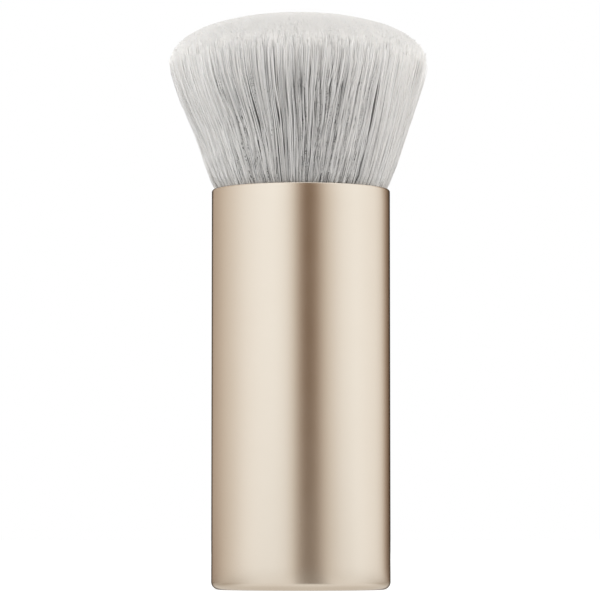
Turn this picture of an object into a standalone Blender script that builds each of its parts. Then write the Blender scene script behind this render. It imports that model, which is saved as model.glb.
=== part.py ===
"""Buffing brush: a plain drawn-metal handle that holds a dense, flared head of bristles with a domed top.

Metres, +Z up. The origin is the middle of the base, on the surface that the brush stands on.
"""

import math

import bmesh
import bpy
from mathutils import Matrix, Vector

MM = 0.001

# Handle shell: one deep-drawn cup, open at the top
HANDLE_DIAMETER = 30.0 * MM
HANDLE_HEIGHT = 67.0 * MM
SHELL_WALL = 0.7 * MM
SHELL_BASE = 0.9 * MM
BASE_CORNER_RADIUS = 1.3 * MM
LIP_RADIUS = 0.3 * MM

# Gaps that glue or resin fills, between pieces that fit in each other and between faces that rest on each other
GLUE_GAP = 0.3 * MM
SEAT_GAP = 0.3 * MM

# Weight and the foam pad under it
PAD_THICKNESS = 0.8 * MM
PAD_MARGIN = 0.6 * MM
WEIGHT_HEIGHT = 9.0 * MM
WEIGHT_CHAMFER = 0.6 * MM

# Moulded core: a skirt round the weight, a web over it, ribs above the web and a socket for the bristle cup
SKIRT_WALL = 1.2 * MM
SKIRT_CHAMFER = 0.9 * MM
WEB_THICKNESS = 1.8 * MM
CORE_WALL = 1.6 * MM
SOCKET_WALL = 1.0 * MM
SOCKET_LIP_CHAMFER = 0.4 * MM
CORE_RECESS = 6.6 * MM
RIB_COUNT = 6
RIB_THICKNESS = 1.4 * MM
RIB_OVERLAP = 0.5 * MM
GROOVE_COUNT = 4
GROOVE_WIDTH = 2.4 * MM
GROOVE_DEPTH = 0.4 * MM

# Bristle cup, and the cast resin in it
CUP_RECESS = 7.5 * MM
CUP_HEIGHT = 9.5 * MM
CUP_WALL = 0.7 * MM
CUP_FLOOR = 1.0 * MM
CUP_CHAMFER = 0.5 * MM
CUP_LIP_CHAMFER = 0.35 * MM
RESIN_DEPTH = 4.0 * MM

# Bristle head: root slice, band round the roots, and the flare and dome of the strands. Each ring of strands
# is turned by the golden angle against the one inside it.
HEAD_DIAMETER = 43.5 * MM
BRISTLE_LOFT = 29.6 * MM
DOME_HEIGHT = 8.2 * MM
ROOT_SLICE_THICKNESS = 1.5 * MM
ROOT_MARGIN = 1.6 * MM
ROOT_OVERLAP = 0.5 * MM
MOUTH_CLEARANCE = 0.3 * MM
BAND_WALL = 0.5 * MM
BAND_HEIGHT = 1.4 * MM
TIP_LENGTH = 2.4 * MM
TIP_RADIUS = 0.3 * MM
STRAND_RINGS = 10
STRANDS_PER_RING_STEP = 6
STRAND_SIDES = 3
STRAND_RADIUS_SHARE = 0.37
STRAIGHT_HEIGHT_SHARE = 0.62
RING_TURN = math.radians(137.5)

# Facets
ROUND_STEPS = 48
CORNER_STEPS = 4
LIP_STEPS = 3
SHARP_EDGE = math.radians(35.0)
MERGE_DISTANCE = 0.0001 * MM

# Places worked out from the sizes above
SHELL_RADIUS = HANDLE_DIAMETER / 2
SHELL_BORE_RADIUS = SHELL_RADIUS - SHELL_WALL
CORE_RADIUS = SHELL_BORE_RADIUS - GLUE_GAP
CORE_BOTTOM = SHELL_BASE + SEAT_GAP
CORE_TOP = HANDLE_HEIGHT - CORE_RECESS
POCKET_RADIUS = CORE_RADIUS - SKIRT_WALL
WEIGHT_RADIUS = POCKET_RADIUS - GLUE_GAP
PAD_BOTTOM = SHELL_BASE + SEAT_GAP
WEIGHT_BOTTOM = PAD_BOTTOM + PAD_THICKNESS + SEAT_GAP
WEB_BOTTOM = WEIGHT_BOTTOM + WEIGHT_HEIGHT + SEAT_GAP
WEB_TOP = WEB_BOTTOM + WEB_THICKNESS
CUP_TOP = HANDLE_HEIGHT - CUP_RECESS
CUP_BOTTOM = CUP_TOP - CUP_HEIGHT
LEDGE_HEIGHT = CUP_BOTTOM - SEAT_GAP
SOCKET_RADIUS = CORE_RADIUS - SOCKET_WALL
CUP_RADIUS = SOCKET_RADIUS - GLUE_GAP
CUP_BORE_RADIUS = CUP_RADIUS - CUP_WALL
RESIN_RADIUS = CUP_BORE_RADIUS - GLUE_GAP
RESIN_BOTTOM = CUP_BOTTOM + CUP_FLOOR + SEAT_GAP
RESIN_TOP = RESIN_BOTTOM + RESIN_DEPTH
ROOT_BOTTOM = RESIN_TOP + SEAT_GAP
ROOT_TOP = ROOT_BOTTOM + ROOT_SLICE_THICKNESS
ROOT_RADIUS = RESIN_RADIUS - ROOT_MARGIN
MOUTH_RADIUS = SHELL_BORE_RADIUS - MOUTH_CLEARANCE
HEAD_RADIUS = HEAD_DIAMETER / 2
SHOULDER_HEIGHT = HANDLE_HEIGHT + BRISTLE_LOFT - DOME_HEIGHT


def clear_scene():
    """Removes whatever the file holds, so that only the brush is left."""
    for thing in list(bpy.data.objects):
        bpy.data.objects.remove(thing)


def finish_material(name, colour, roughness, metallic):
    """A plain Principled BSDF with the piece's colour."""
    material = bpy.data.materials.new(name)
    material.use_nodes = True
    shader = material.node_tree.nodes["Principled BSDF"]
    shader.inputs["Base Color"].default_value = (*colour, 1.0)
    shader.inputs["Roughness"].default_value = roughness
    shader.inputs["Metallic"].default_value = metallic
    return material


def piece_from(name, shape, material):
    """Turns a bmesh into an object with the given name and finish, shaded smooth but for its real edges."""
    bmesh.ops.recalc_face_normals(shape, faces=shape.faces)
    mesh = bpy.data.meshes.new(name)
    shape.to_mesh(mesh)
    shape.free()
    mesh.shade_smooth()
    mesh.set_sharp_from_angle(angle=SHARP_EDGE)
    mesh.materials.append(material)
    piece = bpy.data.objects.new(name, mesh)
    bpy.context.scene.collection.objects.link(piece)
    return piece


def arc(centre, radius, start_degrees, end_degrees, steps):
    """Points (radius from the axis, height) along a round corner of an outline."""
    points = []
    for step in range(steps + 1):
        angle = math.radians(start_degrees + (end_degrees - start_degrees) * step / steps)
        points.append((centre[0] + radius * math.cos(angle), centre[1] + radius * math.sin(angle)))
    return points


def turned(name, outline, material):
    """Turns an outline of (radius, height) points once round the Z axis. Ends at radius zero close on the axis."""
    shape = bmesh.new()
    corners = [shape.verts.new((radius, 0.0, height)) for radius, height in outline]
    edges = [shape.edges.new(pair) for pair in zip(corners, corners[1:])]
    if outline[0][0] > 0.0:
        edges.append(shape.edges.new((corners[-1], corners[0])))
    bmesh.ops.spin(
        shape,
        geom=corners + edges,
        cent=(0.0, 0.0, 0.0),
        axis=(0.0, 0.0, 1.0),
        angle=math.tau,
        steps=ROUND_STEPS,
        use_merge=True,
    )
    bmesh.ops.remove_doubles(shape, verts=shape.verts, dist=MERGE_DISTANCE)
    return piece_from(name, shape, material)


def make_handle_shell(material):
    """The visible barrel: a thin cup with a rounded foot and a rounded lip."""
    inner_corner = BASE_CORNER_RADIUS - SHELL_WALL
    outline = [(0.0, 0.0)]
    outline += arc(
        (SHELL_RADIUS - BASE_CORNER_RADIUS, BASE_CORNER_RADIUS), BASE_CORNER_RADIUS, -90, 0, CORNER_STEPS
    )
    outline += arc((SHELL_RADIUS - LIP_RADIUS, HANDLE_HEIGHT - LIP_RADIUS), LIP_RADIUS, 0, 90, LIP_STEPS)
    outline += arc(
        (SHELL_BORE_RADIUS + LIP_RADIUS, HANDLE_HEIGHT - LIP_RADIUS), LIP_RADIUS, 90, 180, LIP_STEPS
    )
    outline += arc(
        (SHELL_BORE_RADIUS - inner_corner, SHELL_BASE + inner_corner), inner_corner, 0, -90, CORNER_STEPS
    )
    outline.append((0.0, SHELL_BASE))
    return turned("handle_shell", outline, material)


def make_weight_pad(material):
    """The double-sided foam disc that sticks the weight to the shell's base and stops it rattling."""
    radius = WEIGHT_RADIUS - PAD_MARGIN
    top = PAD_BOTTOM + PAD_THICKNESS
    return turned(
        "weight_pad", [(0.0, PAD_BOTTOM), (radius, PAD_BOTTOM), (radius, top), (0.0, top)], material
    )


def make_base_weight(material):
    """The turned steel slug low in the handle."""
    top = WEIGHT_BOTTOM + WEIGHT_HEIGHT
    outline = [
        (0.0, WEIGHT_BOTTOM),
        (WEIGHT_RADIUS - WEIGHT_CHAMFER, WEIGHT_BOTTOM),
        (WEIGHT_RADIUS, WEIGHT_BOTTOM + WEIGHT_CHAMFER),
        (WEIGHT_RADIUS, top - WEIGHT_CHAMFER),
        (WEIGHT_RADIUS - WEIGHT_CHAMFER, top),
        (0.0, top),
    ]
    return turned("base_weight", outline, material)


def core_outside():
    """The core's outer wall from the skirt up, with its ring grooves that key the glue to the shell."""
    points = [(CORE_RADIUS - SKIRT_CHAMFER, CORE_BOTTOM), (CORE_RADIUS, CORE_BOTTOM + SKIRT_CHAMFER)]
    pitch = (CORE_TOP - CORE_BOTTOM) / (GROOVE_COUNT + 1)
    for groove in range(1, GROOVE_COUNT + 1):
        low = CORE_BOTTOM + groove * pitch - GROOVE_WIDTH / 2
        high = low + GROOVE_WIDTH
        points += [
            (CORE_RADIUS, low),
            (CORE_RADIUS - GROOVE_DEPTH, low + GROOVE_DEPTH),
            (CORE_RADIUS - GROOVE_DEPTH, high - GROOVE_DEPTH),
            (CORE_RADIUS, high),
        ]
    points.append((CORE_RADIUS, CORE_TOP))
    return points


def make_core_ribs(wall_radius):
    """A star of upright ribs that carries the cup's floor. It is joined to the core and isn't a piece by itself."""
    shape = bmesh.new()
    half = RIB_THICKNESS / 2
    reach = wall_radius + RIB_OVERLAP
    valley = half / math.sin(math.pi / RIB_COUNT)
    rim = []
    for rib in range(RIB_COUNT):
        turn = Matrix.Rotation(math.tau * rib / RIB_COUNT, 3, "Z")
        half_turn = Matrix.Rotation(math.tau * (rib + 0.5) / RIB_COUNT, 3, "Z")
        rim.append(turn @ Vector((reach, -half, 0.0)))
        rim.append(turn @ Vector((reach, half, 0.0)))
        rim.append(half_turn @ Vector((valley, 0.0, 0.0)))
    low = Vector((0.0, 0.0, WEB_TOP - RIB_OVERLAP))
    face = shape.faces.new([shape.verts.new(point + low) for point in rim])
    raised = bmesh.ops.extrude_face_region(shape, geom=[face])["geom"]
    rise = Vector((0.0, 0.0, LEDGE_HEIGHT - low.z))
    bmesh.ops.translate(shape, verts=[v for v in raised if isinstance(v, bmesh.types.BMVert)], vec=rise)
    bmesh.ops.recalc_face_normals(shape, faces=shape.faces)
    mesh = bpy.data.meshes.new("core_ribs_tool")
    shape.to_mesh(mesh)
    shape.free()
    ribs = bpy.data.objects.new("core_ribs_tool", mesh)
    bpy.context.scene.collection.objects.link(ribs)
    ribs.hide_render = True
    ribs.display_type = "WIRE"
    return ribs


def make_inner_core(material):
    """The moulded core that fills the thin shell, covers the weight and seats the bristle cup."""
    bay_radius = CORE_RADIUS - CORE_WALL
    outline = [(0.0, WEB_BOTTOM), (POCKET_RADIUS, WEB_BOTTOM), (POCKET_RADIUS, CORE_BOTTOM)]
    outline += core_outside()
    outline += [
        (SOCKET_RADIUS + SOCKET_LIP_CHAMFER, CORE_TOP),
        (SOCKET_RADIUS, CORE_TOP - SOCKET_LIP_CHAMFER),
        (SOCKET_RADIUS, LEDGE_HEIGHT),
        (bay_radius, LEDGE_HEIGHT),
        (bay_radius, WEB_TOP),
        (0.0, WEB_TOP),
    ]
    core = turned("inner_core", outline, material)
    join_ribs = core.modifiers.new("join_ribs", "BOOLEAN")
    join_ribs.operation = "UNION"
    join_ribs.object = make_core_ribs(bay_radius)
    return core


def make_bristle_cup(material):
    """The short inner ferrule that the bristle roots are potted in. It is glued into the core's socket."""
    floor_top = CUP_BOTTOM + CUP_FLOOR
    outline = [
        (0.0, CUP_BOTTOM),
        (CUP_RADIUS - CUP_CHAMFER, CUP_BOTTOM),
        (CUP_RADIUS, CUP_BOTTOM + CUP_CHAMFER),
        (CUP_RADIUS, CUP_TOP),
        (CUP_BORE_RADIUS + CUP_LIP_CHAMFER, CUP_TOP),
        (CUP_BORE_RADIUS, CUP_TOP - CUP_LIP_CHAMFER),
        (CUP_BORE_RADIUS, floor_top),
        (0.0, floor_top),
    ]
    return turned("bristle_cup", outline, material)


def make_resin_plug(material):
    """The resin cast in the cup, under the slice of it that holds the bristle roots."""
    outline = [
        (0.0, RESIN_BOTTOM),
        (RESIN_RADIUS, RESIN_BOTTOM),
        (RESIN_RADIUS, RESIN_TOP),
        (0.0, RESIN_TOP),
    ]
    return turned("resin_plug", outline, material)


def make_root_band(material):
    """The band that gathers the bristle roots into one knot before they are potted."""
    low = ROOT_TOP + SEAT_GAP
    high = low + BAND_HEIGHT
    inner = RESIN_RADIUS - BAND_WALL
    return turned(
        "root_band", [(inner, low), (RESIN_RADIUS, low), (RESIN_RADIUS, high), (inner, high)], material
    )


def dome_height(radius):
    """Height of the head's domed top, half an ellipsoid, at a distance from the axis."""
    return SHOULDER_HEIGHT + DOME_HEIGHT * math.sqrt(max(0.0, 1.0 - (radius / HEAD_RADIUS) ** 2))


def flare_radius(height):
    """Radius of the straight flare that leaves the roots and just clears the handle's mouth under its lip."""
    spread = (MOUTH_RADIUS - ROOT_RADIUS) / (HANDLE_HEIGHT - LIP_RADIUS - ROOT_TOP)
    return ROOT_RADIUS + spread * (height - ROOT_TOP)


def strand_stations(ring):
    """(distance from the axis, height, strand radius) where a strand of this ring is drawn, from root to tip.

    Every strand keeps its share of the head's radius at each height, so no strand crosses another.
    """
    rings_out = STRAND_RINGS + STRAND_RADIUS_SHARE
    root_pitch = flare_radius(ROOT_TOP) / rings_out
    straight_top = HANDLE_HEIGHT + STRAIGHT_HEIGHT_SHARE * (SHOULDER_HEIGHT - HANDLE_HEIGHT)
    upper_pitch = flare_radius(straight_top) / rings_out
    head_pitch = HEAD_RADIUS / rings_out
    tip = dome_height(ring * head_pitch)
    return (
        (ring * root_pitch, ROOT_TOP - ROOT_OVERLAP, STRAND_RADIUS_SHARE * root_pitch),
        (ring * upper_pitch, straight_top, STRAND_RADIUS_SHARE * upper_pitch),
        (ring * head_pitch, tip - TIP_LENGTH, STRAND_RADIUS_SHARE * head_pitch),
        (ring * head_pitch, tip, TIP_RADIUS),
    )


def add_strand(shape, ring, angle):
    """Adds one closed strand to the mesh, lofted through its stations, with an edge to the outside."""
    loops = []
    for distance, height, radius in strand_stations(ring):
        middle = Vector((distance * math.cos(angle), distance * math.sin(angle), height))
        loop = []
        for side in range(STRAND_SIDES):
            turn = angle + math.tau * side / STRAND_SIDES
            loop.append(shape.verts.new(middle + radius * Vector((math.cos(turn), math.sin(turn), 0.0))))
        loops.append(loop)
    for low, high in zip(loops, loops[1:]):
        for side in range(STRAND_SIDES):
            after = (side + 1) % STRAND_SIDES
            shape.faces.new((low[side], low[after], high[after], high[side]))
    shape.faces.new(list(reversed(loops[0])))
    shape.faces.new(loops[-1])


def make_strands_tool():
    """All the strands, ring by ring from the middle. Each ring is turned, so that no gap looks right through."""
    shape = bmesh.new()
    add_strand(shape, 0, 0.0)
    for ring in range(1, STRAND_RINGS + 1):
        count = STRANDS_PER_RING_STEP * ring
        for place in range(count):
            add_strand(shape, ring, RING_TURN * ring + math.tau * place / count)
    mesh = bpy.data.meshes.new("strands_tool")
    shape.to_mesh(mesh)
    shape.free()
    strands = bpy.data.objects.new("strands_tool", mesh)
    bpy.context.scene.collection.objects.link(strands)
    strands.hide_render = True
    strands.display_type = "WIRE"
    return strands


def make_bristle_knot(material):
    """The bristles: strands that fan out of one slice of resin, pass the mouth and end in a dome."""
    outline = [
        (0.0, ROOT_BOTTOM),
        (RESIN_RADIUS, ROOT_BOTTOM),
        (RESIN_RADIUS, ROOT_TOP),
        (0.0, ROOT_TOP),
    ]
    knot = turned("bristle_knot", outline, material)
    join_strands = knot.modifiers.new("join_strands", "BOOLEAN")
    join_strands.operation = "UNION"
    join_strands.object = make_strands_tool()
    return knot


def main():
    clear_scene()
    make_handle_shell(finish_material("champagne_anodised_aluminium", (0.80, 0.70, 0.58), 0.28, 1.0))
    make_weight_pad(finish_material("foam_tape", (0.06, 0.06, 0.06), 0.9, 0.0))
    make_base_weight(finish_material("zinc_plated_steel", (0.55, 0.55, 0.56), 0.35, 1.0))
    make_inner_core(finish_material("natural_abs", (0.72, 0.69, 0.62), 0.5, 0.0))
    make_bristle_cup(finish_material("plain_aluminium", (0.75, 0.75, 0.76), 0.35, 1.0))
    make_resin_plug(finish_material("clear_amber_resin", (0.62, 0.48, 0.28), 0.2, 0.0))
    make_root_band(finish_material("white_binding_tape", (0.80, 0.79, 0.76), 0.7, 0.0))
    make_bristle_knot(finish_material("pale_grey_fibre", (0.72, 0.72, 0.70), 0.6, 0.0))


main()
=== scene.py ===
"""Dresses the buffing brush: a satin metal barrel that holds a dense, flared head of soft pale bristles.

Metres, +Z up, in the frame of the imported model. The camera looks along +Y and a little upwards.
"""

import math

import bmesh
import bpy
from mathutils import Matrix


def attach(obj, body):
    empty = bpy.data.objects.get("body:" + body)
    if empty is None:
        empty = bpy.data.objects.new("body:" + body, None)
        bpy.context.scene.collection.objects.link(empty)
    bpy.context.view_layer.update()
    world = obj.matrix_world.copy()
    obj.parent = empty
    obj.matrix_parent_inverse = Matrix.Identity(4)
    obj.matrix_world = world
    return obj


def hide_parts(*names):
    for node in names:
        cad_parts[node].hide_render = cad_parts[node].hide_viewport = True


MM = 0.001
BODY = "root"
SHARP_ANGLE = math.radians(38.0)

# Barrel: one drawn cup, with a rounded foot and a thin rounded lip
BARREL_RADIUS = 15.0 * MM
BARREL_HEIGHT = 67.0 * MM
BARREL_WALL = 0.7 * MM
BARREL_FLOOR = 0.9 * MM
BARREL_SIDES = 256
WALL_RINGS = 24
INNER_WALL_RINGS = 4
FOOT_RADIUS = 1.3 * MM
FOOT_STEPS = 10
FOOT_FACE_SHARES = (0.0, 0.35, 0.7, 0.9)
INNER_FOOT_RADIUS = 0.5 * MM
INNER_FOOT_STEPS = 4
LIP_RADIUS = 0.34 * MM
LIP_STEPS = 6

# Bristle head: the shape of the whole bundle, as (height, radius) up its side and (share of the radius, height)
# over its crown, in millimetres
ROOT_HEIGHT = 56.6 * MM
CROWN_HEIGHT = 96.6 * MM
SHOULDER_HEIGHT = 88.4 * MM
BUNDLE_HEIGHT = CROWN_HEIGHT - ROOT_HEIGHT
HEAD_RADIUS = 21.75 * MM
HEAD_GIRTH = math.tau * HEAD_RADIUS
WIDEST_RADIUS = 23.0 * MM
SIDE_SHAPE_MM = (
    (56.6, 10.7), (58.8, 11.05), (62.0, 12.1), (66.6, 13.9), (68.2, 14.8), (70.8, 15.85), (73.7, 16.85),
    (77.0, 18.05), (80.5, 19.35), (83.2, 20.25), (85.9, 21.05), (88.5, 21.65), (92.0, 21.95), (96.6, 22.2),
)
CROWN_SHAPE_MM = (
    (0.0, 96.4), (0.34, 96.1), (0.62, 94.85), (0.78, 93.6), (0.88, 92.25), (0.94, 91.0), (0.98, 89.7), (1.0, 88.3),
)

# How the points of a strand share its height, and how its thickness runs, from root to tip
CLIMB_SHARES = (
    (0.0, 0.0), (0.1, 0.308), (0.2, 0.371), (0.3, 0.453), (0.4, 0.541), (0.5, 0.629), (0.6, 0.717), (0.7, 0.805),
    (0.8, 0.887), (0.9, 0.95), (1.0, 1.0),
)
CROWN_SHARES = ((0.0, 0.0), (0.7, 0.0), (0.8, 0.12), (0.9, 0.48), (1.0, 1.0))
TAPER_SHARES = ((0.0, 0.62), (0.1, 0.8), (0.5, 1.0), (0.88, 1.0), (1.0, 0.55))

# Plain values of a sector of strands, and those of each layer that differ from them. The outer strands are divided
# finely. Those of the core are simple, and end in many fine split tips, which make the crown.
BRISTLE_SEED = 11
SEED_STEP = 20
SECTOR_VALUES = {
    "Strands": 100,
    "Segments": 4,
    "Sides": 3,
    "Seed": BRISTLE_SEED,
    "Sector": 0,
    "Sectors": 1,
    "Inner Share": 0.0,
    "Outer Share": 1.0,
    "Start Share": 0.0,
    "Thickness": 0.2 * MM,
    "Tip Bluntness": 0.0,
    "Tip Jitter": 0.1 * MM,
    "Shortness": 0.0,
    "Wisp Sink": 0.0,
    # Painted shade of the layer's outermost and innermost strands
    "Outer Tone": 0.0,
    "Inner Tone": 0.0,
}
OUTER_STRANDS = {
    "Strands": 2600,
    "Segments": 10,
    "Inner Share": 0.94,
    "Thickness": 0.19 * MM,
    "Tip Jitter": 0.14 * MM,
    "Wisp Sink": 1.3 * MM,
    "Inner Tone": 0.65,
}
MIDDLE_STRANDS = {
    "Strands": 3200,
    "Inner Share": 0.84,
    "Outer Share": 0.94,
    "Tip Bluntness": 0.5,
    "Tip Jitter": 0.12 * MM,
    "Outer Tone": 0.7,
    "Inner Tone": 0.85,
}
CORE_STRANDS = {
    "Strands": 7000,
    "Segments": 3,
    "Outer Share": 0.88,
    "Thickness": 0.5 * MM,
    "Tip Jitter": 0.5 * MM,
    "Shortness": 3.0 * MM,
    "Outer Tone": 0.75,
    "Inner Tone": 0.75,
}
TIP_STRANDS = {
    "Strands": 24500,
    "Segments": 1,
    "Outer Share": 0.955,
    "Start Share": 0.69,
    "Thickness": 0.185 * MM,
    "Tip Bluntness": 0.9,
    "Tip Jitter": 0.08 * MM,
    "Outer Tone": 0.75,
    "Inner Tone": 0.75,
}

# Layers from the outside in, with the number of sectors of each
STRAND_LAYERS = {
    "outer": (4, OUTER_STRANDS),
    "middle": (2, MIDDLE_STRANDS),
    "core": (1, CORE_STRANDS),
    "tips": (5, TIP_STRANDS),
}
THICKNESS_RANGE = (0.35, 0.6)
TIP_DROP = 5.0 * MM
DROP_RARITY = 4.0
RIM_STEEPNESS = 12.0
GOLDEN_SHARE = 0.6180339887
TURN_JITTER = 0.01

# Directions round the head start at +X, so the camera's side is three quarters of the way round
CAMERA_SIDE_SHARE = 0.75

# Locks and the finer wisps in them: their width, how many times deeper than wide they are, how far they sink into
# the bundle, and how far each lock, wisp and strand slants to the side, and in or out, from root to crown
CELL_STRETCH = 2.6
LOCK_SIZE = 1.4 * MM
LOCK_SLANT = 1.5 * MM
WISP_SIZE = 0.28 * MM
WISP_SLANT = 2.6 * MM
WISP_DEPTH_SLANT = 1.6 * MM
SUNK_SHARE = 0.5
SUNK_STEEPNESS = 2.0
SINK_MIDDLES = (0.34, 0.74)
SINK_REACHES = (0.07, 0.2)
OWN_SLANT = 1.3 * MM
OWN_DEPTH_SLANT = 1.4 * MM
STRAY_SHARE = 0.05
STRAY_SLANT = 6.0 * MM
PROUD_SHARE = 0.03
PROUD_HEIGHTS = (0.1 * MM, 0.6 * MM)
PROUD_SWELL = (0.7, 0.26)
PIVOT_SHARE = 0.6
EVEN_FROM_SHARE = 0.72

# How the bundle fans out unevenly: degrees round from the camera's side, and the slant there in degrees
FAN_SLANTS = (
    (-180, 2.0), (-150, -5.0), (-120, 3.0), (-90, -2.0), (-60, -6.0), (-45, -6.5), (-28, -6.0), (-17, -2.0),
    (-6, 0.0), (5, 5.0), (14, 8.0), (25, 9.0), (38, 3.0), (50, -2.5), (65, -3.0), (90, 0.0), (120, 4.0),
    (150, -3.0), (180, 2.0),
)
WIDEST_SLANT = 12.0
FAN_SHARES = (0.3, 1.3)

# How loosely it is packed, from 0 to 1, by the same directions. Loose sides show deeper slits, and their strands
# have more painted shade.
LOOSE_SHARES = (
    (-180, 0.8), (-140, 0.6), (-110, 0.8), (-85, 0.25), (-60, 0.25), (-45, 0.5), (-30, 0.8), (-15, 0.9), (0, 1.0),
    (18, 0.88), (26, 0.6), (36, 0.6), (46, 0.42), (56, 0.33), (66, 0.2), (90, 0.25), (120, 0.8), (150, 0.5),
    (180, 0.8),
)
EVEN_SLANT_SHARE = 0.45

# Partings, where the strands stand apart in a long narrow slit: degrees round from the camera's side, the middle of
# the slit and its reach up and down as shares of the height, and how far it pushes the strands beside it
PARTINGS = (
    (40.6, 0.53, 0.16, 0.3 * MM),
    (28.8, 0.57, 0.17, 0.22 * MM),
    (20.8, 0.63, 0.1, 0.2 * MM),
    (8.7, 0.54, 0.12, 0.16 * MM),
    (5.0, 0.69, 0.08, 0.2 * MM),
    (-11.6, 0.55, 0.09, 0.2 * MM),
    (-23.5, 0.52, 0.14, 0.22 * MM),
    (-34.6, 0.72, 0.08, 0.16 * MM),
    (-118.0, 0.6, 0.14, 0.24 * MM),
    (-151.0, 0.5, 0.12, 0.2 * MM),
    (-172.0, 0.66, 0.13, 0.26 * MM),
    (-205.0, 0.54, 0.15, 0.22 * MM),
    (-243.0, 0.62, 0.12, 0.24 * MM),
)
PARTING_REACH = 1.1 * MM
PARTING_EVENNESS = 0.85

# Painted shade of a strand below the crown, from 0 for a light one to 1 for a deep one: what a sunk wisp and chance
# add to its layer's own. The map that its colour is read from has a column for each step of shade. Strands keep off
# the edges of their column.
SUNK_SHADE = 0.45
CHANCE_SHADE = 0.9
CHANCE_SHADE_RARITY = 3.0
OPENED_SHADE = 1.8
SHADE_SINK = 0.1 * MM
SHADE_COLUMNS = 128
DEEPEST_COLUMN = SHADE_COLUMNS - 0.01
COLUMN_START, COLUMN_SPAN = 0.15, 0.7
MAP_START, MAP_SPAN = 0.02, 0.96

# The whole head leans a little at the top
LEAN = -0.46 * MM
LEAN_FROM_HEIGHT = 75.0 * MM
LEAN_TO_HEIGHT = 84.0 * MM

# Root slice: the glued end of the bundle
SLICE_RADIUS = 11.7 * MM
SLICE_BOTTOM = 55.6 * MM
SLICE_TOP = 57.1 * MM
SLICE_EDGE = 0.15 * MM

# Foam pad under the weight
PAD_RADIUS = 11.9 * MM
PAD_BOTTOM = 1.2 * MM
PAD_TOP = 2.0 * MM
PAD_EDGE = 0.32 * MM
PAD_CROWN = 0.05 * MM

# Both are round discs, with rings at these shares of their faces
DISC_SIDES = 160
DISC_FACE_SHARES = (0.0, 0.35, 0.65, 0.88)
DISC_EDGE_STEPS = 5

# Tape wound round the bundle above the slice: where its middle line starts, and how it is wound
TAPE_RADIUS = 11.285 * MM
TAPE_THICKNESS = 0.16 * MM
TAPE_PITCH = 0.168 * MM
TAPE_TURNS = 2
TAPE_STEPS = 240
TAPE_BOTTOM = 57.4 * MM
TAPE_TOP = 58.8 * MM
TAPE_EDGE = 0.05 * MM

# Studio, with the barrel's middle as its centre
CAMERA_PLACE = (-0.148 * MM, -581.4 * MM, 9.25 * MM)
CAMERA_PITCH = math.radians(3.863)
CAMERA_LENS = 208.0
FLOOR_RADIUS = 4.2
FLOOR_SIDES = 64
TENT_RADIUS = 1.2
TENT_HEIGHT = 1.6
TENT_SIDES = 96

# Light tent: the brightness of its panels by direction, as degrees round from the camera's side and a share of
# the full strength. The gap between its two front panels shows in the metal as a dark band.
TENT_STRENGTH = 1.05
TENT_PANELS = (
    (-180, 0.09), (-172, 0.06), (-164, 0.04), (-156, 0.46), (-147, 0.46), (-127, 0.57), (-112, 0.67), (-95, 0.77),
    (-75, 0.90), (-55, 0.97), (-35, 1.0), (-20, 0.94), (-10, 0.75), (-2, 0.41), (5, 0.18), (12, 0.17), (20, 0.31),
    (30, 0.62), (40, 0.78), (55, 0.93), (75, 0.98), (95, 0.93), (112, 0.89), (127, 0.73), (137, 0.43), (145, 0.26),
    (152, 0.15), (158, 0.06), (164, 0.04), (172, 0.06), (180, 0.09),
)
TENT_TINT_POWERS = (1.0, 1.275, 1.55)

# Floor, as gloss sees it, is a painted glow of light and shade: a painted shadow under the brush, then the floor in
# front of it, beside and behind it, with a darker painted strip on the right. Further out it gives way to the panels'
# light, painted, with a painted haze in front. The shares are how far across or back a place lies for its distance.
# The camera sees the floor's own glow instead, which rises outwards to plain white.
FLOOR_PAPER = (0.35, 0.35, 0.35)
FLOOR_SHADOW_GLOSS = (0.66, 0.61, 0.56)
FLOOR_FRONT_GLOSS = (0.8, 0.76, 0.72)
FLOOR_SIDE_GLOSS = (0.48, 0.42, 0.36)
FLOOR_BACK_GLOSS = (0.22, 0.17, 0.13)
FLOOR_STRIP_GLOSS = (0.3, 0.265, 0.23)
FLOOR_HAZE = (0.6, 0.57, 0.53)
FLOOR_HAZE_SHARE = 0.45
FLOOR_STEEPNESS = 0.5
FLOOR_UNDER_RADII = (0.0144, 0.0166)
FLOOR_BESIDE_RADII = (0.018, 0.07)
FLOOR_FRONT_SHARES = (-0.75, -0.2)
FLOOR_FRONT_TURN = -0.15
FLOOR_BACK_SHARES = (0.1, 0.55)
FLOOR_STRIP_SHARES = (0.165, 0.3)
FLOOR_STRIP_RADII = (0.0165, 0.021)
FLOOR_GLOW = (0.74, 1.0)
FLOOR_GLOW_RADII = (0.12, 0.6)

# Lamps: direction round from the camera's side, elevation and distance, size, watts and colour
LAMPS = (
    ("side_lamp_left", -84, 18, 1.0, 0.6, 5.1, (1.0, 0.995, 0.99)),
    ("side_lamp_right", 86, 18, 1.0, 0.6, 4.7, (1.0, 0.98, 0.95)),
    ("front_lamp", 4, 40, 1.1, 0.8, 6.35, (1.0, 0.985, 0.965)),
    ("top_lamp", 0, 89, 1.1, 0.8, 5.0, (1.0, 0.99, 0.975)),
    ("back_lamp", 178, 30, 1.1, 0.8, 4.2, (1.0, 0.99, 0.975)),
)
AMBIENT = 0.29


# Nodes


class Value:
    """Something that a node puts out. Arithmetic on it adds the nodes that work it out."""

    def __init__(self, socket):
        self.socket = socket

    def __add__(self, other):
        return maths("ADD", self, other)

    def __sub__(self, other):
        return maths("SUBTRACT", self, other)

    def __rsub__(self, other):
        return maths("SUBTRACT", other, self)

    def __mul__(self, other):
        return maths("MULTIPLY", self, other)

    def __truediv__(self, other):
        return maths("DIVIDE", self, other)

    def __rtruediv__(self, other):
        return maths("DIVIDE", other, self)

    def __pow__(self, other):
        return maths("POWER", self, other)


def feed(socket, value):
    """Gives a socket what it reads: what a node puts out, or a plain value. A plain colour is opaque."""
    if isinstance(value, Value):
        socket.id_data.links.new(value.socket, socket)
    elif socket.type == "RGBA":
        socket.default_value = (*value, 1.0)
    else:
        socket.default_value = value


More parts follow.
